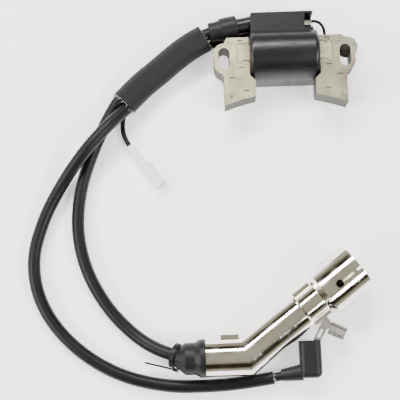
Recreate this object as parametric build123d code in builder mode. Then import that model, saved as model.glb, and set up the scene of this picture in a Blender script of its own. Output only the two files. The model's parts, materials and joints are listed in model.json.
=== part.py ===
"""Ignition coil of a small engine: coil module, harness and shielded spark plug cap.

Millimetres, +Z up. The origin lies on the module's back rim, midway between the two mounting slots.
X runs from slot to slot and the flywheel lies towards -Y. The whole harness rests on the plane Z = 0.
"""

import os
from math import asin, cos, hypot, radians, sin, sqrt, tan

from build123d import *

os.makedirs("parts", exist_ok=True)

# --- Laminated core -----------------------------------------------------------------------------
slot_spacing = 73.0  # between the centres of the mounting slots
slot_width = 6.7  # passes an M6 screw
slot_length = 13.3
slot_wall = 2.8  # metal left round a slot
stack = 16.0  # thickness of the lamination stack
leg_top = 12.8  # top edge of the legs, above the slots' centre line
leg_outer = slot_spacing / 2 + 0.4  # outer edge of the legs
leg_blend = 4.0  # round below the slot's boss
shoe_inner = 18.0  # inner edge of the pole shoes
shoe_top = -14.0  # where the shoe steps in from the leg
shoe_step = 3.3  # height of that step
flywheel_radius = 100.0  # circle that the pole faces lie on
flywheel_drop = 122.0  # its centre, below the slots' centre line
bridge_width = 9.0
head_length = 7.2  # puzzle head of the bridge inside each leg
lobe_radius = 1.5
joint_clearance = 0.05  # between a head and its pocket
stake_width = 0.6  # staked groove round each puzzle head
stake_depth = 0.5
rivet_radius = 1.0
rivet_head = 1.45
rivet_head_height = 0.35
rivet_bore = 0.5
rivet_bore_depth = 1.2
dimple_length = 3.0
dimple_width = 1.1
dimple_depth = 0.6
dimple_taper = 25

# --- Coil housing -------------------------------------------------------------------------------
coil_y = 3.0  # coil axis, above the slots' centre line
potting_gap = 0.69  # between the secondary bobbin and the housing
housing_half = 21.0  # half the length over the coil
housing_gap = 0.3  # between the housing's ends and the legs
housing_wall = 1.5
housing_end = 1.6  # end walls
housing_round = 2.6  # round of the front edges
box_left = -19.6
box_right = 18.6
box_top = 29.0
box_front = 21.0
box_round = 1.4
recess_left = 13.4  # recess for the stop terminal at the box's right end
recess_back = 9.5
recess_floor = 18.8
recess_top_wall = 1.3
potting_sink = 0.8  # potting lies this far inside the back rim
bridge_fit = 0.15  # round the bridge, each side

# --- Windings -----------------------------------------------------------------------------------
bobbin_wall = 0.8
bobbin_end_gap = 0.1
primary_build = 1.0  # thickness of the primary winding
primary_corner = 3.0
primary_flange = 0.2  # the flange stands this far above the winding
secondary_gap = 0.15  # between the primary's flange corners and the secondary bobbin
secondary_wall = 0.8
secondary_build = 1.0
secondary_disc = 0.7
secondary_disc_proud = 0.2
chambers = 6

# --- Trigger circuit ----------------------------------------------------------------------------
board_length = 25.0
board_width = 8.0
board_thickness = 1.2
board_x = -3.6
board_y = 22.8
board_z = 11.0
transistor_length = 6.2
transistor_width = 5.6
transistor_height = 2.4
transistor_bevel = 0.3
chip_length = 3.2
chip_width = 1.8
chip_height = 1.2
chips = 4

# --- High-tension outlet ------------------------------------------------------------------------
lead_diameter = 7.8
conductor_diameter = 1.8
tower_y = 23.4
tower_tilt = 10.0  # degrees towards -Y
tower_radius = 4.9
tower_length = 13.0
lead_fit = 0.1  # round the lead in the tower
lead_seat = 5.5  # the lead starts this far along the tower
spike_length = 6.0
spike_radius = 0.8
point_bevel = 0.6
cap_start = 8.0
cap_collar_end = 18.5
cap_cone_end = 21.0
cap_end = 25.5
cap_collar_radius = 7.2
cap_nose_radius = 5.9
cap_round = 0.8

# --- Harness ------------------------------------------------------------------------------------
hose_diameter = 7.8
hose_fit = 0.2  # between the sleeving and its cable
cable_diameter = 5.4
kill_diameter = 3.0
module_wire_diameter = 1.9
bundle_width = 17.0
bundle_height = 12.8
bundle_wall = 0.4
arc_share = 0.45  # share of the shorter run that each arc of a cord uses

# --- Ground ring and stop terminal --------------------------------------------------------------
ring_radius = 6.9
ring_bore = 3.2  # radius, passes an M6 screw
ring_thickness = 0.8
ring_sink = 0.6  # behind the leg, clear of its rivet
ring_x = slot_spacing / 2 + 3.5
ring_y = 9.6
barrel_radius = 1.6
ring_barrel = 3.2
tag_width = 3.0
tag_thickness = 0.6
tag_length = 4.6

# --- Bullet connector ---------------------------------------------------------------------------
sleeve_narrow = 2.65  # radius
sleeve_wide = 3.9
sleeve_narrow_length = 14.5
sleeve_taper = 1.5
sleeve_length = 31.0
sleeve_wall = 0.55
bullet_radius = 2.6
bullet_bore = 2.0
bullet_start = 16.5
bullet_length = 11.0
crimp_radius = 1.95
crimp_start = 5.0

# --- Plug cap shield ----------------------------------------------------------------------------
bend_x = -30.0
bend_y = -177.5
elbow_angle = 37.0  # of the second section, from +X
shield_radius = 11.0
shield_wall = 0.7
first_length = 24.0
neck_start = 42.0
neck_ease = 1.2  # length of the step down to the neck
neck_end = 55.5
neck_radius = 9.5
mouth_start = 58.7
mouth_end = 84.2
mouth_radius = 15.0
keyhole_at = 68.5
keyhole_radius = 2.35
keyhole_slit = 1.5
keyholes = 4
seam_flange = 0.7  # thickness of each half's flange
clip_wall = 0.5
clip_gap = 0.1  # between a clip and the tube beside it
neck_flange_reach = 10.9  # from the second axis
neck_clip = (43.5, 55.0)
lower_clip = (43.5, 47.0)
first_flange_reach = 12.9  # from the first axis
first_clip = (-15.0, -4.2)

# --- Inside the cap -----------------------------------------------------------------------------
insulator_gap = 0.15
insulator_ease = 0.4  # its step lies this far back from the shield's
insulator_start = 15.5
insulator_end = 50.0
resistor_radius = 2.6
resistor_start = 7.0
resistor_length = 18.0
resistor_cap = 2.5
spring_wire = 0.45
spring_turns = 5
contact_radius = 3.1
clip_radius = 4.2
clip_bore = 3.3
clip_length = 12.0
clip_slit = 0.8
chamber_radius = 4.4
seal_end = 71.0
seal_bore = 5.1  # radius over the plug's insulator
seal_lip = 1.2
screw_length = 12.0  # in the lead's core
lead_stop = 10.0  # the lead ends this far before the bend
contact_fit = 0.05
end_gap = 0.2  # between the conductor's ends and the spike or screw

# --- Boots, tie and ground connection -----------------------------------------------------------
boot_plug = 8.0  # length inside the shield
boot_flange_radius = shield_radius + 0.2
boot_flange = 3.2
boot_radius = 9.4
boot_body = 5.6
boot_neck_at = 1.4  # neck's start, back along the lead from its last corner but two
boot_neck = 3.6
boot_neck_radius = 6.3
tie_width = 2.4
tie_thickness = 1.1
tie_head = 4.4
tie_tail = (-17.0, 4.6, -1.2)  # from the tie's head to the end of its tail
ground_boot_x = 7.4
ground_boot_width = 13.0
ground_boot_height = 11.0
ground_boot_top = -169.4
ground_boot_bottom = -191.2
ground_boot_z = 9.9
ground_boot_round = 3.5
bracket_thickness = 0.8
bracket_lap = 0.6  # past the seam flange it is welded to
strip_width = 4.4
bracket_band = (48.0, 55.5)  # along the second axis
bracket_arm = [(45.5, 22.0), (49.6, 15.2)]  # from the bend, in the cap's own plane
terminal_line = [(37.5, -9.0), (39.5, 2.0), (42.4, 9.0), (47.4, 18.6)]
terminal_slot = (43.8, 12.0)
terminal_slot_angle = 62.0
terminal_slot_length = 5.6
terminal_slot_width = 1.5
terminal_barrel = 5.0
spade_width = 5.6
spade_length = 10.0
spade_foot = 0.3
spade_angle = -26.0
roll_radius = 1.05
roll_wall = 0.5
branch_start = 4.0
branch_end = 16.5
branch_radius = 5.0
branch_tip = 3.5
boot_mouth = 9.0
boot_mouth_height = 6.0
boot_mouth_depth = 3.0

# --- Worked out from the values above -----------------------------------------------------------
slot_x = slot_spacing / 2
leg_inner = housing_half + housing_gap
head_end = leg_inner + head_length
cavity_half = housing_half - housing_end
bore_wide = bridge_width + 2 * bridge_fit
bore_high = stack + 2 * bridge_fit
primary_wide = bore_wide + 2 * bobbin_wall
primary_high = bore_high + 2 * bobbin_wall
winding_wide = primary_wide + 2 * primary_build
winding_high = primary_high + 2 * primary_build
flange_wide = winding_wide + 2 * primary_flange
flange_high = winding_high + 2 * primary_flange
flange_corner = primary_corner + primary_flange
flange_corner_x = flange_wide / 2 - flange_corner
flange_corner_y = flange_high / 2 - flange_corner
secondary_bore = hypot(flange_corner_x, flange_corner_y) + flange_corner + secondary_gap
secondary_core = secondary_bore + secondary_wall
winding_radius = secondary_core + secondary_build
disc_radius = winding_radius + secondary_disc_proud
housing_radius = disc_radius + potting_gap + housing_wall
coil_z = housing_radius
stack_back = coil_z - stack / 2
stack_front = coil_z + stack / 2
coil_half = cavity_half - bobbin_end_gap
bore_radius = lead_diameter / 2 + lead_fit
potting_front = box_front - housing_wall
shield_bore = shield_radius - shield_wall
neck_bore = neck_radius - shield_wall
mouth_bore = mouth_radius - shield_wall
insulator_radius = shield_bore - insulator_gap
insulator_neck = neck_bore - insulator_gap

# The cap lies on its mouth's back edge and on its boot's flange, so it rolls up about the first section.
cap_roll = asin((mouth_radius - boot_flange_radius) / (mouth_start * sin(radians(elbow_angle))))
cap_up = (0, -sin(cap_roll), cos(cap_roll))
cap_frame = Plane((bend_x, bend_y, boot_flange_radius), x_dir=(1, 0, 0), z_dir=cap_up)
second_frame = Plane(cap_frame.location * Location((0, 0, 0), (0, 0, elbow_angle)))
second_axis = Axis(second_frame.origin, second_frame.x_dir)
tower_way = (-cos(radians(tower_tilt)), -sin(radians(tower_tilt)), 0)
tower_frame = Plane((box_left, tower_y, coil_z), x_dir=(0, 0, 1), z_dir=tower_way)

# --- Routes of the cords -----------------------------------------------------------------------
ht_points = [
    (-25.0, 22.4, coil_z),
    (-37.0, 20.3, coil_z),
    (-49.0, 17.6, 13.9),
    (-59.5, 12.9, 12.2),
    (-69.5, 6.6, 10.4),
    (-79.6, 0.0, 8.8),
    (-89.9, -7.8, 7.6),
    (-101.2, -18.4, 6.6),
    (-110.0, -33.0, 4.7),
    (-118.6, -51.0, 4.0),
    (-126.3, -73.0, 3.9),
    (-129.0, -98.0, 3.9),
    (-124.0, -123.0, 3.9),
    (-111.5, -146.0, 3.9),
    (-96.5, -162.0, 4.2),
    (-83.5, -171.0, 7.4),
    (-69.0, -176.2, 10.8),
    (-54.0, bend_y + 0.1, boot_flange_radius),
    (bend_x - lead_stop, bend_y, boot_flange_radius),
]
cable_points = [
    (-17.0, 21.2, 4.3),
    (-29.0, 20.0, 4.2),
    (-40.5, 14.9, 6.8),
    (-51.0, 10.2, 9.6),
    (-61.5, 3.2, 9.0),
    (-72.0, -4.6, 7.9),
    (-83.3, -12.9, 7.2),
    (-94.9, -23.7, 8.4),
    (-102.4, -31.0, 12.6),
    (-110.5, -39.6, 16.4),
    (-120.0, -49.7, 16.2),
    (-130.0, -61.0, 11.2),
    (-139.5, -74.0, 6.2),
    (-149.0, -91.0, 3.9),
    (-156.5, -116.0, 3.9),
    (-151.5, -143.0, 3.9),
    (-134.0, -167.0, 3.9),
    (-108.0, -185.0, 3.9),
    (-78.0, -193.3, 3.9),
    (-50.0, -193.8, 3.9),
    (-30.0, -192.4, 4.1),
    (-14.5, -190.2, 5.6),
    (-2.8, -188.2, 8.2),
    (6.5, -187.2, 9.4),
]
hose_first = 5  # the sleeving starts at this point of the cable
hose_last = 21  # and ends at this one
kill_points = [
    (-17.0, 25.6, 3.2),
    (-29.0, 24.6, 3.0),
    (-40.0, 20.6, 6.4),
    (-50.5, 15.0, 7.7),
    (-61.0, 9.2, 6.6),
    (-71.5, 2.1, 5.0),
    (-82.0, -6.4, 4.0),
    (-91.0, -14.6, 3.4),
    (-97.0, -21.5, 2.9),
    (-99.5, -30.0, 1.9),
    (-99.9, -38.0, 2.6),
    (-97.0, -45.8, 3.9),
    (-92.6, -51.6, 3.9),
]
bundle_points = [
    (-47.4, 16.6, 11.9),
    (-57.0, 11.7, 11.0),
    (-66.0, 5.6, 9.8),
    (-75.7, -2.1, 8.4),
    (-86.2, -10.0, 7.7),
    (-93.4, -16.8, 7.4),
    (-98.0, -21.4, 7.6),
]
module_wire_points = [
    (15.6, 24.2, coil_z - 1.9),
    (20.2, 25.0, coil_z - 1.9),
    (24.0, 23.4, 12.6),
    (26.2, 20.2, 10.8),
    (26.6, 16.4, 8.4),
    (28.6, 12.8, stack_back - 1.3),
    (32.6, 10.8, stack_back - 2.4),
]


def flywheel_y(x):
    """Height of the pole circle at x."""
    return sqrt(flywheel_radius**2 - x**2) - flywheel_drop


def across(frame, along):
    """The plane across a section of the elbow, at a distance along its axis."""
    return Plane(frame.from_local_coords((along, 0, 0)), x_dir=frame.z_dir, z_dir=frame.x_dir)


def route(name, points):
    """A cord's route: straight runs joined by tangent arcs, each as large as its two runs allow."""
    corners = [Vector(*p) for p in points]
    radii = []
    for before, here, after in zip(corners, corners[1:], corners[2:]):
        first, second = here - before, after - here
        half_turn = radians(first.get_angle(second)) / 2
        radii.append(arc_share * min(first.length, second.length) / tan(half_turn))
    with BuildLine() as line:
        FilletPolyline(*corners, radius=radii)
    path = line.wire()
    print(name, "length %.1f" % path.length, "radii", [round(r) for r in radii])
    return path


def tube(path, diameter, bore=0.0):
    """A round tube or rod along a route."""
    with BuildPart() as made:
        with BuildSketch(Plane(path @ 0, z_dir=path % 0)):
            Circle(diameter / 2)
            if bore:
                Circle(bore / 2, mode=Mode.SUBTRACT)
        sweep(path=path)
    return made


def write(built, name):
    """Label a finished piece and write its STEP file."""
    built.part.label = name
    export_step(built.part, f"parts/{name}.step")


# --- Cords --------------------------------------------------------------------------------------
ht_route = route("ht_lead", ht_points)
cable_route = route("ground_cable", cable_points)
hose_route = route("ground_hose", cable_points[hose_first : hose_last + 1])
kill_route = route("kill_wire", kill_points)
module_wire_route = route("module_ground_wire", module_wire_points)
bundle_route = route("bundle_sleeve", bundle_points)

ht_space = tube(ht_route, lead_diameter)

ht_lead = tube(ht_route, lead_diameter, conductor_diameter)
write(ht_lead, "ht_lead")

ground_cable = tube(cable_route, cable_diameter)
write(ground_cable, "ground_cable")

ground_hose = tube(hose_route, hose_diameter, cable_diameter + 2 * hose_fit)
write(ground_hose, "ground_hose")

kill_wire = tube(kill_route, kill_diameter)
write(kill_wire, "kill_wire")

module_ground_wire = tube(module_wire_route, module_wire_diameter)
write(module_ground_wire, "module_ground_wire")

with BuildPart() as bundle_sleeve:
    start = Plane(bundle_route @ 0, x_dir=(0, 0, 1), z_dir=bundle_route % 0)
    with BuildSketch(start):
        SlotOverall(bundle_width, bundle_height, rotation=90)
        inside = bundle_width - 2 * bundle_wall, bundle_height - 2 * bundle_wall
        SlotOverall(*inside, rotation=90, mode=Mode.SUBTRACT)
    sweep(path=bundle_route)
write(bundle_sleeve, "bundle_sleeve")


# --- Core ---------------------------------------------------------------------------------------
def head_outline(side, grow):
    """Puzzle head of the bridge on one side, grown all round, drawn in the current sketch."""
    with Locations((side * (leg_inner + (head_length + grow) / 2), coil_y)):
        Rectangle(head_length + grow, bridge_width + 2 * grow)
    top = coil_y + bridge_width / 2
    lobes = [(leg_inner + lobe_radius, top), (head_end - lobe_radius, top)]
    lobes.append((head_end - lobe_radius, coil_y - bridge_width / 2))
    with Locations(*[(side * x, y) for x, y in lobes]):
        Circle(lobe_radius + grow)


def core_leg(side, top_corner, rivets, dimples):
    """One leg of the core: a lamination stack with a slot, a pole shoe and the bridge's pocket."""
    tip = (side * leg_outer, flywheel_y(leg_outer))
    heel = (side * shoe_inner, flywheel_y(shoe_inner))
    middle_x = (leg_outer + shoe_inner) / 2
    middle = (side * middle_x, flywheel_y(middle_x))
    corner = [(side * x, y) for x, y in top_corner]
    with BuildPart() as leg:
        with BuildSketch(Plane.XY.offset(stack_back)) as outline:
            with BuildLine():
                Polyline((side * leg_inner, leg_top), *corner, (side * leg_outer, 0), tip)
                ThreePointArc(tip, middle, heel)
                step = (side * shoe_inner, shoe_top), (side * leg_inner, shoe_top + shoe_step)
                Polyline(heel, *step, (side * leg_inner, leg_top))
            make_face()
            with Locations((side * slot_x, 0)):
                SlotOverall(slot_length + 2 * slot_wall, slot_width + 2 * slot_wall, rotation=90)
            boss_foot = Vector(side * leg_outer, -slot_length / 2 - slot_wall, 0)
            fillet(outline.vertices().sort_by_distance(boss_foot)[0], radius=leg_blend)
            with Locations((side * slot_x, 0)):
                SlotOverall(slot_length, slot_width, rotation=90, mode=Mode.SUBTRACT)
            with Locations(*[(side * x, y) for x, y in rivets]):
                Circle(rivet_radius, mode=Mode.SUBTRACT)
        extrude(amount=stack)
        with BuildSketch(Plane.XY.offset(stack_back)):
            head_outline(side, joint_clearance)
        extrude(amount=stack, mode=Mode.SUBTRACT)
        with BuildSketch(Plane.XY.offset(stack_front)):
            head_outline(side, stake_width)
        extrude(amount=-stake_depth, mode=Mode.SUBTRACT)
        with BuildSketch(Plane.XY.offset(stack_front)):
            with Locations(*[(side * x, y) for x, y in dimples]):
                Rectangle(dimple_length, dimple_width)
        extrude(amount=-dimple_depth, taper=dimple_taper, mode=Mode.SUBTRACT)
    return leg


left_corner = [(slot_x - 1.9, leg_top), (slot_x - 0.5, 10.4)]
right_corner = [(slot_x - 2.1, leg_top), (slot_x + 2.9, 9.0)]
left_rivets = [(slot_x - 3.1, 10.5), (slot_x - 3.9, -23.6)]
right_rivets = [(slot_x - 4.1, 10.3), (slot_x - 2.4, -23.4)]
left_dimples = [(26.4, 10.8), (26.1, -5.9), (31.9, -12.0), (23.8, -20.3)]
right_dimples = [(25.9, 10.9), (26.6, -5.6), (32.8, -11.7), (25.1, -20.1)]

core_left_leg = core_leg(-1, left_corner, left_rivets, left_dimples)
write(core_left_leg, "core_left_leg")

core_right_leg = core_leg(1, right_corner, right_rivets, right_dimples)
write(core_right_leg, "core_right_leg")

with BuildPart() as core_bridge:
    with BuildSketch(Plane.XY.offset(stack_back)):
        with Locations((0, coil_y)):
            Rectangle(2 * leg_inner, bridge_width)
        head_outline(-1, 0)
        head_outline(1, 0)
    extrude(amount=stack)
write(core_bridge, "core_bridge")

with BuildPart() as core_rivets:
    places = [(-x, y) for x, y in left_rivets] + right_rivets
    with BuildSketch(Plane.XY.offset(stack_back)):
        with Locations(*places):
            Circle(rivet_radius)
    extrude(amount=stack + rivet_head_height)
    with BuildSketch(Plane.XY.offset(stack_front)):
        with Locations(*places):
            Circle(rivet_head)
    extrude(amount=rivet_head_height)
    with BuildSketch(Plane.XY.offset(stack_front + rivet_head_height)):
        with Locations(*places):
            Circle(rivet_bore)
    extrude(amount=-rivet_bore_depth, mode=Mode.SUBTRACT)
write(core_rivets, "core_rivets")


# --- Housing and potting ------------------------------------------------------------------------
def coil_section(radius, bottom):
    """Round-fronted section over the coil, straight down to the back, in the current YZ sketch."""
    with Locations((coil_y, coil_z)):
        Circle(radius)
    with Locations((coil_y, (coil_z + bottom) / 2)):
        Rectangle(2 * radius, coil_z - bottom)


def cavity(bottom):
    """The housing's hollow, from a height above the back rim."""
    with BuildPart() as space:
        with BuildSketch(Plane.YZ.offset(-cavity_half)):
            coil_section(housing_radius - housing_wall, bottom)
            with Locations((coil_y, bottom - housing_radius)):
                Rectangle(3 * housing_radius, 2 * housing_radius, mode=Mode.SUBTRACT)
        extrude(amount=2 * cavity_half)
        with BuildSketch(Plane.YZ.offset(box_left + housing_wall)):
            top = box_top - housing_wall
            with Locations(((coil_y + top) / 2, (potting_front + bottom) / 2)):
                Rectangle(top - coil_y, potting_front - bottom)
        extrude(amount=recess_left - box_left - 2 * housing_wall)
    return space.part


with BuildPart() as coil_housing:
    with BuildSketch(Plane.YZ.offset(-housing_half)):
        coil_section(housing_radius, 0)
    extrude(amount=2 * housing_half)
    end_edges = coil_housing.faces().filter_by(Axis.X).edges()
    fillet([e for e in end_edges if e.center().Z > coil_z], radius=housing_round)
    with BuildSketch(Plane.YZ.offset(box_left)):
        with Locations(((coil_y + box_top) / 2, box_front / 2)):
            Rectangle(box_top - coil_y, box_front)
    extrude(amount=box_right - box_left)
    corners = coil_housing.edges().filter_by(Axis.Z).group_by(Axis.Y)[-1]
    fillet(corners, radius=box_round)
    with BuildSketch(tower_frame.offset(-housing_wall / 2)):
        Circle(tower_radius)
    extrude(amount=tower_length + housing_wall / 2)
    add(cavity(0), mode=Mode.SUBTRACT)
    recess_wide = box_top - recess_top_wall - recess_floor
    with BuildSketch(Plane.XY.offset(recess_back)):
        with Locations(((recess_left + housing_half) / 2, recess_floor + recess_wide / 2)):
            Rectangle(housing_half - recess_left, recess_wide)
    extrude(amount=box_front, mode=Mode.SUBTRACT)
    with BuildSketch(Plane.YZ.offset(-housing_half)):
        with Locations((coil_y, coil_z)):
            Rectangle(bore_wide, bore_high)
    extrude(amount=2 * housing_half, mode=Mode.SUBTRACT)
    with BuildSketch(tower_frame.offset(lead_seat)):
        Circle(bore_radius)
    extrude(amount=tower_length, mode=Mode.SUBTRACT)
    with BuildSketch(tower_frame.offset(-2 * housing_wall)):
        Circle(conductor_diameter / 2)
    extrude(amount=lead_seat + 2 * housing_wall, mode=Mode.SUBTRACT)
    with BuildSketch(Plane.YZ.offset(recess_left - 2 * housing_wall)):
        with Locations((tower_y, coil_z - tag_thickness)):
            Rectangle(tag_width, tag_thickness)
    extrude(amount=3 * housing_wall, mode=Mode.SUBTRACT)
    for cord in (ground_cable, kill_wire, ht_space):
        add(cord.part, mode=Mode.SUBTRACT)
write(coil_housing, "coil_housing")

with BuildPart() as trigger_board:
    with BuildSketch(Plane.XY.offset(board_z)):
        with Locations((board_x, board_y)):
            Rectangle(board_length, board_width)
    extrude(amount=board_thickness)
write(trigger_board, "trigger_board")

with BuildPart() as trigger_transistor:
    with BuildSketch(Plane.XY.offset(board_z + board_thickness)):
        with Locations((board_x + board_length / 4, board_y)):
            Rectangle(transistor_length, transistor_width)
    extrude(amount=transistor_height)
    chamfer(trigger_transistor.edges().group_by(Axis.Z)[-1], length=transistor_bevel)
write(trigger_transistor, "trigger_transistor")

with BuildPart() as trigger_parts:
    with BuildSketch(Plane.XY.offset(board_z + board_thickness)):
        with Locations((board_x - board_length / 5, board_y)):
            with GridLocations(2 * chip_length, 2 * chip_width, 2, chips // 2):
                Rectangle(chip_length, chip_width)
    extrude(amount=chip_height)
write(trigger_parts, "trigger_parts")

with BuildPart() as ht_terminal:
    with BuildSketch(tower_frame.offset(-2 * housing_wall)):
        Circle(conductor_diameter / 2)
    extrude(amount=lead_seat + 2 * housing_wall)
    with BuildSketch(tower_frame.offset(lead_seat)):
        Circle(spike_radius)
    extrude(amount=spike_length)
    tip = ht_terminal.faces().sort_by(Axis.X)[0]
    chamfer(tip.edges(), length=point_bevel)
    with BuildSketch(tower_frame.offset(-2 * housing_wall)):
        Circle(conductor_diameter)
    extrude(amount=-housing_wall)
write(ht_terminal, "ht_terminal")

# The conductor stops short of the spike in the tower and of the screw in the plug cap.
with BuildPart() as ht_conductor:
    with BuildSketch(Plane(ht_route @ 0, z_dir=ht_route % 0)):
        Circle(conductor_diameter / 2)
    sweep(path=ht_route)
    with BuildSketch(Plane(ht_route @ 0, z_dir=ht_route % 0)):
        Circle(conductor_diameter)
    extrude(amount=spike_length + end_gap, mode=Mode.SUBTRACT)
    with BuildSketch(Plane(ht_route @ 1, z_dir=-(ht_route % 1))):
        Circle(conductor_diameter)
    extrude(amount=screw_length + end_gap, mode=Mode.SUBTRACT)
write(ht_conductor, "ht_conductor")

with BuildPart() as primary_bobbin:
    with BuildSketch(Plane.YZ.offset(-coil_half)):
        with Locations((coil_y, coil_z)):
            Rectangle(primary_wide, primary_high)
    extrude(amount=2 * coil_half)
    for end in (-coil_half, coil_half - bobbin_wall):
        with BuildSketch(Plane.YZ.offset(end)):
            with Locations((coil_y, coil_z)):
                RectangleRounded(flange_wide, flange_high, flange_corner)
        extrude(amount=bobbin_wall)
    with BuildSketch(Plane.YZ.offset(-coil_half)):
        with Locations((coil_y, coil_z)):
            Rectangle(bore_wide, bore_high)
    extrude(amount=2 * coil_half, mode=Mode.SUBTRACT)
write(primary_bobbin, "primary_bobbin")

with BuildPart() as primary_winding:
    with BuildSketch(Plane.YZ.offset(-coil_half + bobbin_wall)):
        with Locations((coil_y, coil_z)):
            RectangleRounded(winding_wide, winding_high, primary_corner)
            Rectangle(primary_wide, primary_high, mode=Mode.SUBTRACT)
    extrude(amount=2 * (coil_half - bobbin_wall))
write(primary_winding, "primary_winding")

chamber_pitch = (2 * coil_half - secondary_disc) / chambers

with BuildPart() as secondary_bobbin:
    with BuildSketch(Plane.YZ.offset(-coil_half)):
        with Locations((coil_y, coil_z)):
            Circle(secondary_core)
            Circle(secondary_bore, mode=Mode.SUBTRACT)
    extrude(amount=2 * coil_half)
    for disc in range(chambers + 1):
        with BuildSketch(Plane.YZ.offset(-coil_half + disc * chamber_pitch)):
            with Locations((coil_y, coil_z)):
                Circle(disc_radius)
                Circle(secondary_bore, mode=Mode.SUBTRACT)
        extrude(amount=secondary_disc)
write(secondary_bobbin, "secondary_bobbin")

with BuildPart() as secondary_winding:
    for chamber in range(chambers):
        side_gap = -coil_half + chamber * chamber_pitch + secondary_disc
        with BuildSketch(Plane.YZ.offset(side_gap)):
            with Locations((coil_y, coil_z)):
                Circle(winding_radius)
                Circle(secondary_core, mode=Mode.SUBTRACT)
        extrude(amount=chamber_pitch - secondary_disc)
write(secondary_winding, "secondary_winding")

with BuildPart() as stop_terminal:
    with BuildSketch(Plane.YZ.offset(recess_left - 2 * housing_wall)):
        with Locations((tower_y, coil_z - tag_thickness)):
            Rectangle(tag_width, tag_thickness)
    extrude(amount=2 * housing_wall + tag_length)
write(stop_terminal, "stop_terminal")

with BuildPart() as potting_fill:
    add(cavity(potting_sink))
    with BuildSketch(Plane.YZ.offset(-cavity_half)):
        with Locations((coil_y, coil_z)):
            Circle(disc_radius)
    extrude(amount=2 * cavity_half, mode=Mode.SUBTRACT)
    with BuildSketch(Plane.XY.offset(board_z)):
        with Locations((board_x, board_y)):
            Rectangle(board_length, board_width)
    extrude(amount=board_thickness + transistor_height, mode=Mode.SUBTRACT)
    for piece in (ht_terminal, stop_terminal, ground_cable, kill_wire):
        add(piece.part, mode=Mode.SUBTRACT)
write(potting_fill, "potting_fill")

with BuildPart() as ht_cap:
    with BuildSketch(tower_frame.offset(cap_start)):
        Circle(cap_collar_radius)
    extrude(amount=cap_collar_end - cap_start)
    fillet(ht_cap.edges().filter_by(GeomType.CIRCLE), radius=cap_round)
    with BuildSketch(tower_frame.offset(cap_collar_end - cap_round)):
        Circle(cap_collar_radius - cap_round)
    with BuildSketch(tower_frame.offset(cap_cone_end)):
        Circle(cap_nose_radius)
    loft()
    with BuildSketch(tower_frame.offset(cap_cone_end)):
        Circle(cap_nose_radius)
    extrude(amount=cap_end - cap_cone_end)
    fillet(ht_cap.edges().filter_by(GeomType.CIRCLE).sort_by(Axis.X)[0], radius=cap_round)
    with BuildSketch(tower_frame.offset(cap_start)):
        Circle(tower_radius)
    extrude(amount=tower_length - cap_start, mode=Mode.SUBTRACT)
    add(ht_space.part, mode=Mode.SUBTRACT)
write(ht_cap, "ht_cap")

with BuildPart() as ground_ring:
    with BuildSketch(Plane.XY.offset(stack_back - ring_sink - ring_thickness)):
        with Locations((ring_x, ring_y)):
            Circle(ring_radius)
        with BuildLine():
            barrel_end = module_wire_route @ 1
            Line((barrel_end.X, barrel_end.Y), (ring_x, ring_y))
        trace(line_width=2 * barrel_radius)
        with Locations((ring_x, ring_y)):
            Circle(ring_bore, mode=Mode.SUBTRACT)
    extrude(amount=ring_thickness)
    with BuildSketch(Plane(module_wire_route @ 1, z_dir=module_wire_route % 1)):
        Circle(barrel_radius)
    extrude(amount=-ring_barrel)
    add(module_ground_wire.part, mode=Mode.SUBTRACT)
write(ground_ring, "ground_ring")

# --- Bullet connector ---------------------------------------------------------------------------
kill_end = kill_route @ 1
kill_way = kill_route % 1


def on_connector(along):
    """The plane across the connector, at a distance from where its sleeve begins."""
    return Plane(kill_end + kill_way * (along - crimp_start), z_dir=kill_way)


with BuildPart() as kill_sleeve:
    with BuildSketch(on_connector(0)):
        Circle(sleeve_narrow)
    extrude(amount=sleeve_narrow_length)
    with BuildSketch(on_connector(sleeve_narrow_length)):
        Circle(sleeve_narrow)
    with BuildSketch(on_connector(sleeve_narrow_length + sleeve_taper)):
        Circle(sleeve_wide)
    loft()
    with BuildSketch(on_connector(sleeve_narrow_length + sleeve_taper)):
        Circle(sleeve_wide)
    extrude(amount=sleeve_length - sleeve_narrow_length - sleeve_taper)
    with BuildSketch(on_connector(0)):
        Circle(sleeve_narrow - sleeve_wall)
    extrude(amount=sleeve_narrow_length + sleeve_taper, mode=Mode.SUBTRACT)
    with BuildSketch(on_connector(sleeve_narrow_length + sleeve_taper)):
        Circle(sleeve_wide - sleeve_wall)
    extrude(amount=sleeve_length, mode=Mode.SUBTRACT)
write(kill_sleeve, "kill_sleeve")

with BuildPart() as kill_bullet:
    with BuildSketch(on_connector(crimp_start)):
        Circle(crimp_radius)
    extrude(amount=bullet_start - crimp_start)
    with BuildSketch(on_connector(bullet_start)):
        Circle(bullet_radius)
    extrude(amount=bullet_length)
    with BuildSketch(on_connector(bullet_start + bullet_length)):
        Circle(bullet_bore)
    extrude(amount=-bullet_length + 1, mode=Mode.SUBTRACT)
write(kill_bullet, "kill_bullet")


# --- Shield -------------------------------------------------------------------------------------
def turned(outline):
    """A solid turned about the elbow's second axis, from (distance along, radius) corners."""
    with BuildPart() as solid:
        with BuildSketch(second_frame):
            with BuildLine():
                Polyline((outline[0][0], 0), *outline, (outline[-1][0], 0), close=True)
            make_face()
        revolve(axis=second_axis)
    return solid.part


def mitred(radius, back, front):
    """A rod that runs down the first axis, turns sharply at the bend and goes up the second."""
    with BuildPart() as solid:
        with BuildLine() as spine:
            tail = cap_frame.from_local_coords((-back, 0, 0))
            head = second_frame.from_local_coords((front, 0, 0))
            Polyline(tail, cap_frame.origin, head)
        with BuildSketch(Plane(tail, x_dir=cap_frame.y_dir, z_dir=cap_frame.x_dir)):
            Circle(radius)
        sweep(path=spine.wire(), transition=Transition.RIGHT)
    return solid.part


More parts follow.
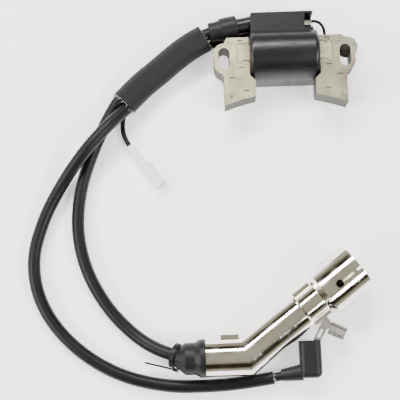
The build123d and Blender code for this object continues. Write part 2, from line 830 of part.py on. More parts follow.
def strip(frame, along, reach_from, reach_to, low, high):
    """A box beside a section: along its axis, out from it, and up from the seam."""
    with BuildPart() as box:
        with BuildSketch(frame.offset(low)):
            with Locations((sum(along) / 2, (reach_from + reach_to) / 2)):
                Rectangle(along[1] - along[0], abs(reach_to - reach_from))
        extrude(amount=high - low)
    return box.part


outer_steps = [
    (neck_start, shield_radius),
    (neck_start + neck_ease, neck_radius),
    (neck_end, neck_radius),
    (mouth_start, mouth_radius),
    (mouth_end, mouth_radius),
]
inner_steps = [
    (neck_start, shield_bore),
    (neck_start + neck_ease, neck_bore),
    (neck_end, neck_bore),
    (mouth_start, mouth_bore),
    (mouth_end + 1, mouth_bore),
]

with BuildPart() as shell:
    add(mitred(shield_radius, first_length, neck_start))
    add(turned(outer_steps))
    add(mitred(shield_bore, first_length, neck_start), mode=Mode.SUBTRACT)
    add(turned(inner_steps), mode=Mode.SUBTRACT)
    for turn in range(keyholes):
        face = Plane(second_frame.location * Location((0, 0, 0), (turn * 360 / keyholes, 0, 0)))
        with BuildSketch(face):
            with Locations((keyhole_at, 0)):
                Circle(keyhole_radius)
            with Locations(((keyhole_at + mouth_end + 1) / 2, 0)):
                Rectangle(mouth_end + 1 - keyhole_at, keyhole_slit)
        extrude(amount=mouth_radius + 1, mode=Mode.SUBTRACT)

seams = [
    (second_frame, neck_clip, neck_radius - shield_wall / 2, neck_flange_reach),
    (second_frame, neck_clip, -neck_radius + shield_wall / 2, -neck_flange_reach),
    (cap_frame, first_clip, shield_radius - shield_wall / 2, first_flange_reach),
]


def half_shell(side):
    """The half of the shield above (1) or below (-1) its seam, with its share of the seam flanges."""
    low, high = sorted((0, side * seam_flange))
    with BuildPart() as half:
        add(shell.part)
        with BuildSketch(cap_frame):
            Circle(2 * mouth_end)
        extrude(amount=-side * 2 * mouth_radius, mode=Mode.SUBTRACT)
        for frame, along, near, far in seams:
            add(strip(frame, along, near, far, low, high))
    return half


shield_front = half_shell(1)
write(shield_front, "shield_front")

shield_back = half_shell(-1)
write(shield_back, "shield_back")

clip_half = seam_flange + clip_wall
clips = [
    (second_frame, neck_clip, neck_radius + clip_gap, neck_flange_reach),
    (second_frame, lower_clip, -neck_radius - clip_gap, -neck_flange_reach),
    (cap_frame, first_clip, shield_radius + clip_gap, first_flange_reach),
]

with BuildPart() as shield_clips:
    for frame, along, near, far in clips:
        edge = far + clip_wall if far > 0 else far - clip_wall
        outer = strip(frame, along, near, edge, -clip_half, clip_half)
        add(outer - strip(frame, along, near, far, -seam_flange, seam_flange))
write(shield_clips, "shield_clips")

# --- Inside the plug cap ------------------------------------------------------------------------
core_end = resistor_start + resistor_length
spring_end = insulator_end - clip_length

insulator_step = neck_start - insulator_ease
insulator_steps = [
    (insulator_step, insulator_radius),
    (insulator_step + neck_ease, insulator_neck),
    (insulator_end, insulator_neck),
]

with BuildPart() as cap_insulator:
    add(mitred(insulator_radius, insulator_start, insulator_step))
    add(turned(insulator_steps))
    with BuildSketch(across(second_frame, -contact_radius)):
        Circle(contact_radius)
    extrude(amount=spring_end + contact_radius, mode=Mode.SUBTRACT)
    with BuildSketch(across(second_frame, spring_end)):
        Circle(chamber_radius)
    extrude(amount=clip_length + 1, mode=Mode.SUBTRACT)
    with BuildSketch(across(cap_frame, -insulator_start)):
        Circle(bore_radius)
    extrude(amount=insulator_start - lead_stop, mode=Mode.SUBTRACT)
    with BuildSketch(across(cap_frame, -insulator_start)):
        Circle(conductor_diameter / 2)
    extrude(amount=insulator_start, mode=Mode.SUBTRACT)
    add(ht_space.part, mode=Mode.SUBTRACT)
write(cap_insulator, "cap_insulator")

with BuildPart() as corner_contact:
    with BuildSketch(across(second_frame, -contact_radius)):
        Circle(contact_radius - contact_fit)
    extrude(amount=contact_radius + resistor_start)
write(corner_contact, "corner_contact")

with BuildPart() as lead_screw:
    with BuildSketch(across(cap_frame, -contact_radius)):
        Circle(spike_radius)
    extrude(amount=contact_radius - lead_stop - screw_length)
    chamfer(lead_screw.faces().sort_by(Axis.X)[0].edges(), length=point_bevel)
    add(corner_contact.part, mode=Mode.SUBTRACT)
write(lead_screw, "lead_screw")

with BuildPart() as suppressor_resistor:
    with BuildSketch(across(second_frame, resistor_start)):
        Circle(resistor_radius)
    extrude(amount=resistor_length)
    for end in (resistor_start, core_end - resistor_cap):
        with BuildSketch(across(second_frame, end)):
            Circle(contact_radius - 2 * contact_fit)
        extrude(amount=resistor_cap)
write(suppressor_resistor, "suppressor_resistor")

spring_room = spring_end - core_end
spring_pitch = (spring_room - 2 * spring_wire) / spring_turns

with BuildPart() as contact_spring:
    foot = across(second_frame, core_end + spring_wire)
    with BuildLine() as coil:
        height, radius = spring_pitch * spring_turns, resistor_radius - spring_wire
        Helix(spring_pitch, height, radius, center=foot.origin, direction=foot.z_dir)
    with BuildSketch(Plane(coil.line @ 0, z_dir=coil.line % 0)):
        Circle(spring_wire)
    sweep(path=coil.wire(), is_frenet=True)
write(contact_spring, "contact_spring")

with BuildPart() as plug_clip:
    with BuildSketch(across(second_frame, spring_end)):
        Circle(clip_radius)
    extrude(amount=clip_length)
    with BuildSketch(across(second_frame, spring_end + 1)):
        Circle(clip_bore)
    extrude(amount=clip_length, mode=Mode.SUBTRACT)
    with BuildSketch(across(second_frame, spring_end + clip_length / 3)):
        Rectangle(clip_slit, 3 * clip_radius)
        Rectangle(3 * clip_radius, clip_slit)
    extrude(amount=clip_length, mode=Mode.SUBTRACT)
write(plug_clip, "plug_clip")

with BuildPart() as plug_seal:
    with BuildSketch(across(second_frame, insulator_end)):
        Circle(insulator_neck)
    extrude(amount=seal_end - insulator_end)
    with BuildSketch(across(second_frame, seal_end - seal_lip)):
        Circle(insulator_neck + seal_lip)
    extrude(amount=seal_lip)
    with BuildSketch(across(second_frame, insulator_end)):
        Circle(seal_bore)
    extrude(amount=seal_end, mode=Mode.SUBTRACT)
write(plug_seal, "plug_seal")

# --- Boot on the lead ---------------------------------------------------------------------------
lead_corner = Vector(*ht_points[-3])
lead_back = (Vector(*ht_points[-4]) - lead_corner).normalized()
neck_at = lead_corner + lead_back * boot_neck_at
neck_frame = Plane(neck_at, x_dir=cap_frame.z_dir, z_dir=-lead_back)

with BuildPart() as cap_boot:
    with BuildSketch(across(cap_frame, -first_length)):
        Circle(shield_bore - insulator_gap)
    extrude(amount=boot_plug)
    with BuildSketch(across(cap_frame, -first_length)):
        Circle(boot_flange_radius)
    extrude(amount=-boot_flange)
    with BuildSketch(across(cap_frame, -first_length - boot_flange)):
        Circle(boot_flange_radius)
    with BuildSketch(across(cap_frame, -first_length - 2 * boot_flange)):
        Circle(boot_radius)
    loft()
    with BuildSketch(across(cap_frame, -first_length - 2 * boot_flange)):
        Circle(boot_radius)
    extrude(amount=-boot_body)
    with BuildSketch(across(cap_frame, -first_length - 2 * boot_flange - boot_body)):
        Circle(boot_radius)
    with BuildSketch(neck_frame):
        Circle(boot_neck_radius)
    loft()
    with BuildSketch(neck_frame):
        Circle(boot_neck_radius)
    extrude(amount=-boot_neck)
    add(ht_space.part, mode=Mode.SUBTRACT)
write(cap_boot, "cap_boot")

tie_frame = neck_frame.offset(-(boot_neck + tie_width) / 2)
tie_outer = boot_neck_radius + tie_thickness
head_at = tie_frame.origin + Vector(0, -tie_outer - tie_head / 4, -tie_head / 2)
tail_end = head_at + Vector(*tie_tail)

with BuildPart() as boot_tie:
    with BuildSketch(tie_frame):
        Circle(tie_outer)
        Circle(boot_neck_radius, mode=Mode.SUBTRACT)
    extrude(amount=tie_width)
    with BuildSketch(Plane(head_at, x_dir=(0, 0, 1), z_dir=tie_frame.z_dir)):
        Rectangle(tie_head, tie_head / 2)
    extrude(amount=tie_width)
    with BuildSketch(Plane(head_at, x_dir=(0, 0, 1), z_dir=tail_end - head_at)):
        Rectangle(tie_width, tie_thickness)
    extrude(amount=(tail_end - head_at).length)
write(boot_tie, "boot_tie")

# --- Ground connection --------------------------------------------------------------------------
cable_end = cable_route @ 1
cable_way = cable_route % 1
under_seam = -seam_flange - bracket_thickness

with BuildPart() as ground_bracket:
    reach = -neck_radius - clip_gap, -neck_flange_reach - bracket_lap
    add(strip(second_frame, bracket_band, *reach, under_seam, -seam_flange))
    with BuildSketch(cap_frame.offset(under_seam)):
        with BuildLine():
            Polyline(*bracket_arm)
        trace(line_width=strip_width)
    extrude(amount=bracket_thickness)
write(ground_bracket, "ground_bracket")

spade_place = Location((*bracket_arm[-1], -seam_flange), (0, 0, spade_angle))
spade_frame = Plane(cap_frame.location * spade_place)

with BuildPart() as spade_receptacle:
    with BuildSketch(spade_frame):
        with Locations((spade_length / 2 - spade_foot, 0)):
            Rectangle(spade_length, spade_width)
    extrude(amount=bracket_thickness)
    for side in (-1, 1):
        roll = spade_frame.from_local_coords((-spade_foot, side * spade_width / 2, roll_radius))
        with BuildSketch(Plane(roll, x_dir=spade_frame.z_dir, z_dir=spade_frame.x_dir)):
            Circle(roll_radius)
            Circle(roll_radius - roll_wall, mode=Mode.SUBTRACT)
        extrude(amount=spade_length)
write(spade_receptacle, "spade_receptacle")

with BuildPart() as ground_terminal:
    with BuildSketch(cap_frame.offset(under_seam - bracket_thickness)):
        with BuildLine():
            Polyline(*terminal_line)
        trace(line_width=strip_width)
        with Locations(*[Location((*terminal_slot, 0), (0, 0, terminal_slot_angle))]):
            SlotOverall(terminal_slot_length, terminal_slot_width, mode=Mode.SUBTRACT)
    extrude(amount=bracket_thickness)
    with BuildSketch(Plane(cable_end, z_dir=cable_way)):
        Circle(cable_diameter / 2 + bracket_thickness)
    extrude(amount=terminal_barrel / 3)
    with BuildSketch(Plane(cable_end, z_dir=cable_way)):
        Circle(cable_diameter / 2 + bracket_thickness)
    extrude(amount=-terminal_barrel)
    add(ground_cable.part, mode=Mode.SUBTRACT)
write(ground_terminal, "ground_terminal")

boot_middle_y = (ground_boot_top + ground_boot_bottom) / 2
branch_way = Vector(*cable_points[-2]) - Vector(*cable_points[-1])
branch_frame = Plane(cable_end, z_dir=branch_way)

with BuildPart() as ground_boot:
    with BuildSketch(Plane.XY.offset(ground_boot_z - ground_boot_height / 2)):
        with Locations((ground_boot_x, boot_middle_y)):
            Rectangle(ground_boot_width, ground_boot_top - ground_boot_bottom)
    extrude(amount=ground_boot_height)
    long_edges = ground_boot.edges().filter_by(Axis.Y)
    low_edges = ground_boot.faces().sort_by(Axis.Y)[0].edges()
    fillet(long_edges + low_edges, radius=ground_boot_round)
    with BuildSketch(branch_frame.offset(branch_start)):
        Circle(branch_radius)
    with BuildSketch(branch_frame.offset(branch_end)):
        Circle(branch_tip)
    loft()
    with BuildSketch(Plane.XZ.offset(-ground_boot_top)):
        with Locations((ground_boot_x, ground_boot_z)):
            Rectangle(boot_mouth, boot_mouth_height)
    extrude(amount=boot_mouth_depth, mode=Mode.SUBTRACT)
    add(ground_terminal.part, mode=Mode.SUBTRACT)
    add(ground_cable.part, mode=Mode.SUBTRACT)
write(ground_boot, "ground_boot")
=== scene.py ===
"""Ignition coil of a small engine, laid out on a pale table and seen from almost straight above."""

import json
import math
import random

import bpy
from mathutils import Matrix, Vector


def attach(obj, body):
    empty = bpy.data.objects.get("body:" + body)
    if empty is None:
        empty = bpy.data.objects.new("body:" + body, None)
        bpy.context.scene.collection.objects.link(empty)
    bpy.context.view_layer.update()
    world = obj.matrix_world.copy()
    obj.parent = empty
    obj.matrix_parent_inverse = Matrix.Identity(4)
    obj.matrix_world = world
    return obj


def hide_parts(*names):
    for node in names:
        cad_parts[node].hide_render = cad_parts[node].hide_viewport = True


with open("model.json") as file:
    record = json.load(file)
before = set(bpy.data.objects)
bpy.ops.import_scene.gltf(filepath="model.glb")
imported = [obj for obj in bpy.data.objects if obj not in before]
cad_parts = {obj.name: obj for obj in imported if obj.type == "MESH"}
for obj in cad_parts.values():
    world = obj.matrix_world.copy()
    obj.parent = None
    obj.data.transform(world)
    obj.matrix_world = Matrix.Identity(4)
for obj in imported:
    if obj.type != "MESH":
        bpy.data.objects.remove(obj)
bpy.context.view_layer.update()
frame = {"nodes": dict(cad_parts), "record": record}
nodes = frame["nodes"]
chance = random.Random(7)

# --- Camera -------------------------------------------------------------------------------------
eye = Vector((-0.0578, -0.1866, 0.6627))
aim = Vector((-0.0539, -0.0817, 0.0))
across = Vector((0.99933, -0.03664, 0.0))
forward = (aim - eye).normalized()
upward = across.cross(forward).normalized()
across = forward.cross(upward)
camera = bpy.data.objects.new("camera", bpy.data.cameras.new("camera"))
bpy.context.collection.objects.link(camera)
turn = Matrix((across, upward, -forward)).transposed()
camera.matrix_world = Matrix.Translation(eye) @ turn.to_4x4()
camera.data.lens = 99.0
camera.data.sensor_width = 36.0
bpy.context.scene.camera = camera


# --- Materials ----------------------------------------------------------------------------------
class Mat:
    """A procedural material: a Principled shader fed by a few noise, wave and ramp nodes."""

    def __init__(self, name, color, rough, metal=0.0, **sockets):
        self.mat = bpy.data.materials.new(name)
        self.mat.use_nodes = True
        self.mat.diffuse_color = (*color, 1.0)
        self.tree = self.mat.node_tree
        self.shader = self.tree.nodes["Principled BSDF"]
        self.coords = self.node("ShaderNodeTexCoord").outputs["Object"]
        self.set("Base Color", (*color, 1.0))
        self.set("Roughness", rough)
        self.set("Metallic", metal)
        for key, value in sockets.items():
            self.set(key.replace("_", " "), value)

    def node(self, kind, **values):
        made = self.tree.nodes.new(kind)
        for key, value in values.items():
            if hasattr(made, key):
                setattr(made, key, value)
            else:
                made.inputs[key].default_value = value
        return made

    def set(self, socket, value):
        self.shader.inputs[socket].default_value = value

    def link(self, source, target):
        self.tree.links.new(source, target)

    def noise(self, scale, detail=3.0, stretch=(1, 1, 1)):
        mapping = self.node("ShaderNodeMapping")
        mapping.inputs["Scale"].default_value = stretch
        self.link(self.coords, mapping.inputs["Vector"])
        made = self.node("ShaderNodeTexNoise", Scale=scale, Detail=detail)
        self.link(mapping.outputs["Vector"], made.inputs["Vector"])
        return made.outputs["Fac"]

    def wave(self, scale, direction, distortion=0.0, turned=(0, 0, 0)):
        mapping = self.node("ShaderNodeMapping")
        mapping.inputs["Rotation"].default_value = turned
        self.link(self.coords, mapping.inputs["Vector"])
        made = self.node("ShaderNodeTexWave", bands_direction=direction)
        made.inputs["Scale"].default_value = scale
        made.inputs["Distortion"].default_value = distortion
        self.link(mapping.outputs["Vector"], made.inputs["Vector"])
        return made.outputs["Fac"]

    def ramp(self, source, stops):
        made = self.node("ShaderNodeValToRGB")
        elements = made.color_ramp.elements
        while len(elements) < len(stops):
            elements.new(0.5)
        for element, (place, color) in zip(elements, stops):
            element.position = place
            element.color = (*color, 1.0)
        self.link(source, made.inputs["Fac"])
        return made.outputs["Color"]

    def range(self, source, low, high, start=0.0, stop=1.0):
        made = self.node("ShaderNodeMapRange")
        made.inputs["From Min"].default_value = start
        made.inputs["From Max"].default_value = stop
        made.inputs["To Min"].default_value = low
        made.inputs["To Max"].default_value = high
        self.link(source, made.inputs["Value"])
        return made.outputs["Result"]

    def math(self, operation, first, second):
        made = self.node("ShaderNodeMath", operation=operation)
        for socket, value in zip(made.inputs, (first, second)):
            if isinstance(value, (int, float)):
                socket.default_value = value
            else:
                self.link(value, socket)
        return made.outputs["Value"]

    def mix(self, factor, first, second):
        made = self.node("ShaderNodeMix", data_type="RGBA")
        self.link(factor, made.inputs[0])
        for socket, value in ((made.inputs[6], first), (made.inputs[7], second)):
            if isinstance(value, tuple):
                socket.default_value = (*value, 1.0)
            else:
                self.link(value, socket)
        return made.outputs[2]

    def color(self, source):
        self.link(source, self.shader.inputs["Base Color"])

    def rough(self, source):
        self.link(source, self.shader.inputs["Roughness"])

    def bump(self, height, strength, distance):
        made = self.node("ShaderNodeBump")
        made.inputs["Strength"].default_value = strength
        made.inputs["Distance"].default_value = distance
        self.link(height, made.inputs["Height"])
        self.link(made.outputs["Normal"], self.shader.inputs["Normal"])


def moulded(name, dark, light, rough, grain, scale=900, **sockets):
    """Moulded plastic or rubber: faint colour clouds, dusty roughness and a fine grain."""
    m = Mat(name, dark, rough, **sockets)
    m.color(m.ramp(m.noise(90, 5), [(0.35, dark), (0.75, light)]))
    m.rough(m.range(m.noise(240, 4), rough - 0.09, rough + 0.12))
    m.bump(m.noise(scale, 4), grain, 0.0003)
    return m.mat


def metal(name, dark, light, rough, grain=0.12, scale=600, stretch=(1, 1, 1)):
    """Bare or plated metal: stained colour, brushed roughness and a fine scratch."""
    m = Mat(name, light, rough, 1.0)
    m.color(m.ramp(m.noise(160, 5), [(0.3, dark), (0.7, light)]))
    m.rough(m.range(m.noise(350, 4, stretch), rough * 0.7, rough * 1.45))
    m.bump(m.noise(scale, 3, stretch), grain, 0.0002)
    return m.mat


def laminated(name, face_dark, face_light):
    """A stack of punched sheets: coated top sheet, and dark edges with one line for each sheet."""
    m = Mat(name, face_light, 0.5, 0.55)
    normal = m.node("ShaderNodeSeparateXYZ")
    m.link(m.node("ShaderNodeNewGeometry").outputs["Normal"], normal.inputs[0])
    flat = m.range(m.math("ABSOLUTE", normal.outputs["Z"], 0.0), 0.0, 1.0, 0.55, 0.8)
    face = m.ramp(m.noise(120, 6), [(0.3, face_dark), (0.68, face_light)])
    sheet = m.wave(310, "Z")
    edge = m.ramp(sheet, [(0.15, (0.010, 0.009, 0.008)), (0.8, (0.085, 0.078, 0.058))])
    stained = m.mix(m.range(m.noise(400, 4), 0.0, 0.7, 0.52, 0.75), edge, (0.03, 0.022, 0.014))
    m.color(m.mix(flat, stained, face))
    m.rough(m.range(m.noise(700, 4), 0.34, 0.62))
    grain = m.math("MULTIPLY", m.noise(1500, 3), 0.35)
    m.bump(m.math("ADD", grain, m.math("MULTIPLY", sheet, m.math("SUBTRACT", 1.0, flat))), 0.5, 0.0002)
    return m.mat


def wound(name, dark, light, axis):
    """A winding: fine turns side by side."""
    m = Mat(name, light, 0.3, 0.9)
    turns = m.wave(900, axis, 0.4)
    m.color(m.ramp(turns, [(0.1, dark), (0.8, light)]))
    m.rough(m.range(m.noise(300), 0.22, 0.42))
    m.bump(turns, 0.5, 0.0002)
    return m.mat


def woven(name, dark, light):
    """Braided sleeving: two sets of crossing strands."""
    m = Mat(name, dark, 0.62, Sheen_Weight=0.03, Specular_IOR_Level=0.25)
    one = m.wave(520, "X", 0.6, (0.0, 0.0, math.radians(-1)))
    two = m.wave(520, "Y", 0.6, (0.0, 0.0, math.radians(7)))
    weave = m.math("MAXIMUM", m.math("MULTIPLY", one, 0.9), two)
    m.color(m.ramp(weave, [(0.35, dark), (0.95, light)]))
    m.rough(m.range(m.noise(500), 0.45, 0.7))
    m.bump(m.math("ADD", weave, m.noise(1200, 3)), 0.55, 0.0004)
    return m.mat


def polished(name):
    """Bright chrome plate with faint draw marks, smudges and a few dull specks."""
    m = Mat(name, (0.88, 0.88, 0.89), 0.09, 1.0)
    m.color(m.ramp(m.noise(70, 5), [(0.3, (0.74, 0.71, 0.62)), (0.7, (0.90, 0.88, 0.83))]))
    smudge = m.range(m.noise(110, 6), 0.05, 0.2, 0.4, 0.8)
    speck = m.range(m.noise(900, 2), 0.0, 0.25, 0.68, 0.78)
    m.rough(m.math("ADD", smudge, speck))
    m.bump(m.noise(55), 0.10, 0.0008)
    return m.mat


def clear_vinyl(name):
    """Milky translucent vinyl."""
    m = Mat(name, (0.92, 0.93, 0.94), 0.2, Transmission_Weight=0.08, IOR=1.45, Coat_Weight=0.3)
    m.color(m.ramp(m.noise(200, 4), [(0.3, (0.86, 0.88, 0.90)), (0.7, (0.97, 0.97, 0.98))]))
    m.rough(m.range(m.noise(420, 3), 0.1, 0.28))
    m.bump(m.noise(500, 3), 0.15, 0.0003)
    return m.mat


def mottled(name, colors, rough, grain):
    """Board, resin, phenolic or ceramic: clouded colour and a fine surface."""
    m = Mat(name, colors[0], rough)
    m.color(m.ramp(m.noise(250, 6), [(0.3, colors[0]), (0.7, colors[1])]))
    m.rough(m.range(m.noise(500, 4), rough - 0.1, rough + 0.15))
    m.bump(m.noise(1000, 4), grain, 0.0003)
    return m.mat


black = (0.003, 0.003, 0.0035)
finishes = {
    "housing_plastic": moulded(
        "housing_plastic", (0.004, 0.004, 0.005), (0.008, 0.008, 0.009), 0.32, 0.22, Specular_IOR_Level=0.35
    ),
    "lamination_left": laminated("lamination_left", (0.27, 0.25, 0.15), (0.47, 0.44, 0.29)),
    "lamination_right": laminated("lamination_right", (0.17, 0.16, 0.11), (0.33, 0.31, 0.22)),
    "rivet_steel": metal("rivet_steel", (0.30, 0.28, 0.20), (0.55, 0.52, 0.40), 0.38),
    "board": mottled("board", ((0.03, 0.10, 0.03), (0.06, 0.17, 0.06)), 0.4, 0.1),
    "resin": mottled("resin", ((0.012, 0.012, 0.012), (0.03, 0.03, 0.03)), 0.35, 0.25),
    "brass": metal("brass", (0.50, 0.36, 0.14), (0.80, 0.62, 0.28), 0.25),
    "copper": wound("copper", (0.25, 0.08, 0.03), (0.80, 0.34, 0.16), "X"),
    "bobbin_plastic": mottled("bobbin_plastic", ((0.60, 0.55, 0.42), (0.72, 0.68, 0.56)), 0.45, 0.1),
    "tinned": metal("tinned", (0.50, 0.49, 0.46), (0.80, 0.79, 0.77), 0.26),
    "rubber": moulded("rubber", black, (0.006, 0.006, 0.0065), 0.46, 0.35, 700, Specular_IOR_Level=0.28),
    "lead_jacket": moulded(
        "lead_jacket", black, (0.004, 0.004, 0.0045), 0.42, 0.16, 800, Specular_IOR_Level=0.22
    ),
    "woven_sleeve": woven("woven_sleeve", (0.002, 0.002, 0.0025), (0.012, 0.012, 0.0125)),
    "white_plastic": clear_vinyl("white_plastic"),
    "fray": mottled("fray", ((0.55, 0.53, 0.47), (0.78, 0.76, 0.70)), 0.7, 0.2),
    "chrome": polished("chrome"),
    "insulator": mottled("insulator", ((0.10, 0.035, 0.02), (0.17, 0.07, 0.04)), 0.4, 0.2),
    "ceramic": mottled("ceramic", ((0.74, 0.71, 0.64), (0.84, 0.82, 0.77)), 0.2, 0.08),
    "spring_steel": metal("spring_steel", (0.35, 0.35, 0.35), (0.62, 0.62, 0.62), 0.22),
}
for part in frame["record"]["subparts"]:
    node = nodes[part["node"]]
    node.data.materials.clear()
    node.data.materials.append(finishes[part["material_slot"]])

# --- Cords --------------------------------------------------------------------------------------
ht_points = [
    (-25.0, 22.4, 15.3), (-37.0, 20.3, 15.3), (-49.0, 17.6, 13.9), (-59.5, 12.9, 12.2),
    (-69.5, 6.6, 10.4), (-79.6, 0.0, 8.8), (-89.9, -7.8, 7.6), (-101.2, -18.4, 6.6),
    (-110.0, -33.0, 4.7), (-118.6, -51.0, 4.0), (-126.3, -73.0, 3.9), (-129.0, -98.0, 3.9),
    (-124.0, -123.0, 3.9), (-111.5, -146.0, 3.9), (-96.5, -162.0, 4.2), (-83.5, -171.0, 7.4),
    (-69.0, -176.2, 10.8), (-54.0, -177.4, 11.2), (-40.0, -177.5, 11.2),
]
cable_points = [
    (-17.0, 21.2, 4.3), (-29.0, 20.0, 4.2), (-40.5, 14.9, 6.8), (-51.0, 10.2, 9.6),
    (-61.5, 3.2, 9.0), (-72.0, -4.6, 7.9), (-83.3, -12.9, 7.2), (-94.9, -23.7, 8.4),
    (-102.4, -31.0, 12.6), (-110.5, -39.6, 16.4), (-120.0, -49.7, 16.2), (-130.0, -61.0, 11.2),
    (-139.5, -74.0, 6.2), (-149.0, -91.0, 3.9), (-156.5, -116.0, 3.9), (-151.5, -143.0, 3.9),
    (-134.0, -167.0, 3.9), (-108.0, -185.0, 3.9), (-78.0, -193.3, 3.9), (-50.0, -193.8, 3.9),
    (-30.0, -192.4, 4.1), (-14.5, -190.2, 5.6), (-2.8, -188.2, 8.2), (6.5, -187.2, 9.4),
]
kill_points = [
    (-17.0, 25.6, 3.2), (-29.0, 24.6, 3.0), (-40.0, 20.6, 6.4), (-50.5, 15.0, 7.7),
    (-61.0, 9.2, 6.6), (-71.5, 2.1, 5.0), (-82.0, -6.4, 4.0), (-91.0, -14.6, 3.4),
    (-97.0, -21.5, 2.9), (-99.5, -30.0, 1.9), (-99.9, -38.0, 2.6), (-97.0, -45.8, 3.9),
    (-92.6, -51.6, 3.9),
]
module_wire_points = [
    (15.6, 24.2, 13.4), (20.2, 25.0, 13.4), (24.0, 23.4, 12.6), (26.2, 20.2, 10.8),
    (26.6, 16.4, 8.4), (28.6, 12.8, 6.0), (32.6, 10.8, 4.9),
]
hose_first, hose_last = 5, 21


def metres(place):
    return tuple(v / 1000 for v in place)


def strand(name, points, diameter, finish, *replaced):
    """A cord as one smooth NURBS curve along its route, given in millimetres."""
    curve = bpy.data.curves.new(name, "CURVE")
    curve.dimensions = "3D"
    curve.bevel_depth = diameter / 2000
    curve.bevel_resolution = 6
    curve.resolution_u = 10
    curve.use_fill_caps = True
    spline = curve.splines.new("NURBS")
    spline.points.add(len(points) - 1)
    for point, place in zip(spline.points, points):
        point.co = (*metres(place), 1.0)
    spline.order_u = 3
    spline.use_endpoint_u = True
    curve.materials.append(finishes[finish])
    made = bpy.data.objects.new(name, curve)
    bpy.context.collection.objects.link(made)
    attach(made, "root")
    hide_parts(*replaced)
    return made


ht_cord = strand("ht_cord", ht_points, 7.8, "lead_jacket", "ht_lead", "ht_conductor")
cable = strand("earth_cable", cable_points, 5.4, "lead_jacket", "ground_cable")
hose_points = cable_points[hose_first : hose_last + 1]
hose = strand("earth_hose", hose_points, 7.8, "lead_jacket", "ground_hose")
stop_wire = strand("stop_wire", kill_points, 3.0, "lead_jacket", "kill_wire")
module_wire = strand("module_wire", module_wire_points, 1.9, "lead_jacket", "module_ground_wire")


# --- Frayed ends --------------------------------------------------------------------------------
def fray(name, place, way, wide, high, count, shortest, longest):
    """Cut yarns that stand out round the end of a sleeve: place and sizes in millimetres."""
    way = Vector(way).normalized()
    side = way.cross(Vector((0, 0, 1))).normalized()
    rise = side.cross(way)
    rings, sides, buried, lowest = 5, 4, 0.8, 0.2
    corners, faces = [], []
    for number in range(count):
        angle = 2 * math.pi * (number + chance.uniform(-0.4, 0.4)) / count
        out = side * math.cos(angle) + rise * math.sin(angle)
        root = Vector(place) + side * wide * math.cos(angle) + rise * high * math.sin(angle)
        reach = chance.uniform(shortest, longest)
        drift = way.cross(out) * chance.uniform(-0.5, 0.5)
        flare = chance.uniform(0.02, 0.35)
        radius = chance.uniform(0.07, 0.14)
        base = len(corners)
        for ring in range(rings):
            along = ring / (rings - 1)
            centre = root + way * (reach * along - buried) + out * flare * reach * along**2
            centre += drift * reach * along**2
            centre.z = max(centre.z, lowest)
            thin = radius * (1 - 0.6 * along)
            for corner in range(sides):
                turn_by = 2 * math.pi * corner / sides
                offset = out * math.cos(turn_by) + way.cross(out) * math.sin(turn_by)
                corners.append((centre + offset * thin) / 1000)
        for ring in range(rings - 1):
            for corner in range(sides):
                here = base + sides * ring + corner
                beside = base + sides * ring + (corner + 1) % sides
                faces.append((here, beside, beside + sides, here + sides))
        faces.append(tuple(base + sides * (rings - 1) + corner for corner in range(sides)))
        faces.append(tuple(base + corner for corner in reversed(range(sides))))
    mesh = bpy.data.meshes.new(name)
    mesh.from_pydata([tuple(c) for c in corners], [], faces)
    for face in mesh.polygons:
        face.use_smooth = True
    mesh.materials.append(finishes["fray"])
    made = bpy.data.objects.new(name, mesh)
    bpy.context.collection.objects.link(made)
    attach(made, "root")
    return made


sleeve_fray_low = fray("sleeve_fray_low", (-98.0, -21.4, 7.6), (-0.7, -0.71, 0.03), 8.2, 6.1, 90, 1.2, 3.2)
sleeve_fray_high = fray("sleeve_fray_high", (-47.4, 16.6, 11.9), (0.88, 0.46, 0.09), 8.2, 6.1, 70, 1.0, 2.2)
hose_fray = fray("hose_fray", (-14.5, -190.2, 5.6), (0.97, 0.14, 0.2), 3.5, 3.5, 50, 1.5, 3.6)

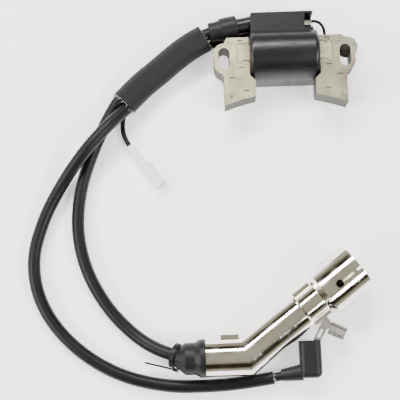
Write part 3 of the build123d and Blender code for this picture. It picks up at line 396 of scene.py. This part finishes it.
# --- Floor and light ----------------------------------------------------------------------------
floor_mesh = bpy.data.meshes.new("floor")
floor_half = 4.0
floor_gap = 0.0002  # below the harness, so that no face is shared
floor_mesh.from_pydata(
    [(x * floor_half, y * floor_half, 0) for x, y in ((-1, -1), (1, -1), (1, 1), (-1, 1))],
    [],
    [(0, 1, 2, 3)],
)
floor = bpy.data.objects.new("floor", floor_mesh)
bpy.context.collection.objects.link(floor)
floor.location.z = -floor_gap
table = Mat("table", (0.93, 0.93, 0.93), 0.7, Emission_Color=(1.0, 1.0, 1.0, 1.0), Emission_Strength=0.75)
table.bump(table.noise(300, 3), 0.03, 0.0005)
floor_mesh.materials.append(table.mat)

world = bpy.data.worlds.new("world")
bpy.context.scene.world = world
world.use_nodes = True
sky = world.node_tree
direction = sky.nodes.new("ShaderNodeTexCoord")
split = sky.nodes.new("ShaderNodeSeparateXYZ")
bands = sky.nodes.new("ShaderNodeValToRGB")
sky.links.new(direction.outputs["Generated"], split.inputs[0])
sky.links.new(split.outputs["Z"], bands.inputs["Fac"])
stops = [
    (0.0, (0.55, 0.54, 0.50)), (0.22, (0.40, 0.36, 0.26)), (0.42, (0.03, 0.024, 0.014)),
    (0.72, (0.035, 0.030, 0.018)), (0.86, (0.42, 0.39, 0.30)), (1.0, (0.50, 0.47, 0.38)),
]
while len(bands.color_ramp.elements) < len(stops):
    bands.color_ramp.elements.new(0.5)
for element, (place, color) in zip(bands.color_ramp.elements, stops):
    element.position = place
    element.color = (*color, 1.0)
sky.links.new(bands.outputs["Color"], sky.nodes["Background"].inputs["Color"])
sky.nodes["Background"].inputs["Strength"].default_value = 1.0


def softbox(name, place, target, size, power, color):
    """A rectangular light that faces its target."""
    data = bpy.data.lights.new(name, "AREA")
    data.shape = "RECTANGLE"
    data.size, data.size_y = size
    data.energy = power
    data.color = color
    lamp = bpy.data.objects.new(name, data)
    bpy.context.collection.objects.link(lamp)
    lamp.location = place
    lamp.rotation_euler = (Vector(target) - Vector(place)).to_track_quat("-Z", "Y").to_euler()


centre = (-0.05, -0.08, 0.0)
softbox("key", (-0.35, 0.75, 1.1), centre, (1.3, 0.30), 38, (1.0, 0.98, 0.96))
softbox("fill", (0.8, -0.5, 1.0), centre, (0.9, 0.30), 24, (0.95, 0.97, 1.0))
softbox("side", (-1.1, -0.3, 0.8), centre, (0.9, 0.25), 22, (1.0, 0.98, 0.95))
